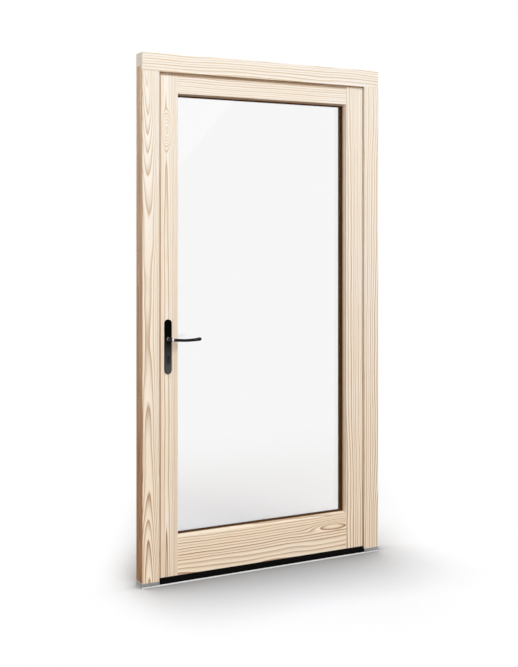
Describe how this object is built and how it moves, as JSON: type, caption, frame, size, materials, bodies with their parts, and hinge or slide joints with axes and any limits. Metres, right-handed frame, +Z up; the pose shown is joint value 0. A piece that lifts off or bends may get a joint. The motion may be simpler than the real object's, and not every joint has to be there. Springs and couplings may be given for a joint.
{
  "type": "glazed timber door with frame",
  "caption": "Glazed pine door leaf in its rebated frame on a low aluminium threshold, opening inwards, with a lever handle, cam lock and key cylinder.",
  "frame": {"origin": "middle of the threshold's underside, on the floor", "axes": "+Z up, +X along the width towards the hinges, +Y from outside to inside"},
  "size_m": [1.1, 0.178, 2.1],
  "materials": {
    "pine": "bare planed pine",
    "dowel": "bare beech",
    "glass": "clear",
    "black_plastic": "matt black",
    "rubber": "matt black",
    "aluminium": "mill finish",
    "black_metal": "black, half gloss",
    "block": "matt",
    "cylinder": "dark nickel",
    "steel": "zinc plated"
  },
  "bodies": {
    "frame": {"jamb_lock": "pine", "jamb_hinge": "pine", "head": "pine", "frame_dowels": "dowel", "threshold_base": "aluminium", "threshold_core": "black_plastic", "foot_lock": "aluminium", "foot_hinge": "aluminium", "foot_screws": "steel", "weather_seal": "rubber", "keep_bottom": "steel", "keep_lower": "steel", "keep_upper": "steel", "keep_top": "steel", "keep_bolt": "steel", "keep_screws": "steel", "hinge_pin_bottom": "steel", "hinge_pin_middle": "steel", "hinge_pin_top": "steel"},
    "handle": {"lever_outer": "black_metal", "lever_inner": "black_metal", "spindle": "steel", "follower": "steel"},
    "drive_rod": {"drive_rod": "steel", "rod_bridge": "steel", "roller_cams": "steel"},
    "dead_bolt": {"dead_bolt": "steel"},
    "key_outer": {"plug_outer": "cylinder", "cylinder_cam": "steel"},
    "key_inner": {"plug_inner": "cylinder"},
    "leaf": {"stile_lock": "pine", "stile_hinge": "pine", "rail_top": "pine", "rail_bottom": "pine", "leaf_dowels": "dowel", "pane_outer": "glass", "pane_inner": "glass", "glass_spacer": "black_plastic", "glass_sealant": "rubber", "gasket_outer": "rubber", "gasket_inner": "rubber", "bead_lock": "pine", "bead_hinge": "pine", "bead_top": "pine", "bead_bottom": "pine", "glazing_blocks": "block", "flange_seal": "rubber", "bottom_seal": "rubber", "hinge_barrel_bottom": "steel", "hinge_barrel_middle": "steel", "hinge_barrel_top": "steel", "faceplate": "steel", "faceplate_screws": "steel", "gear_case": "steel", "cylinder_body": "cylinder", "cylinder_screw": "steel", "plate_outer": "black_metal", "plate_inner": "black_metal", "plate_screws": "black_metal"}
  },
  "joints": [
    {"name": "leaf_swing", "type": "hinge", "parent": "frame", "child": "leaf", "pos_m": [0.517, 0.044, 1], "axis": [0, 0, -1], "range_deg": [0, 100]},
    {"name": "handle_turn", "type": "hinge", "parent": "leaf", "child": "handle", "pos_m": [-0.437, 0, 0.97], "axis": [0, 1, 0], "range_deg": [0, 90]},
    {"name": "rod_slide", "type": "slide", "parent": "leaf", "child": "drive_rod", "axis": [0, 0, -1], "range_m": [0, 0.018]},
    {"name": "key_turn", "type": "hinge", "parent": "leaf", "child": "key_outer", "pos_m": [-0.437, 0, 0.898], "axis": [0, 1, 0], "range_deg": [0, 360]},
    {"name": "bolt_slide", "type": "slide", "parent": "leaf", "child": "dead_bolt", "axis": [-1, 0, 0], "range_m": [0, 0.02]},
    {"name": "inner_key_turn", "type": "hinge", "parent": "leaf", "child": "key_inner", "pos_m": [-0.437, 0, 0.898], "axis": [0, 1, 0], "range_deg": [0, 360]}
  ],
  "couplings": [
    {"joint": "rod_slide", "follows": "handle_turn", "m_per_rad": 0.011459},
    {"joint": "key_turn", "follows": "bolt_slide", "rad_per_m": 314.16}
  ]
}
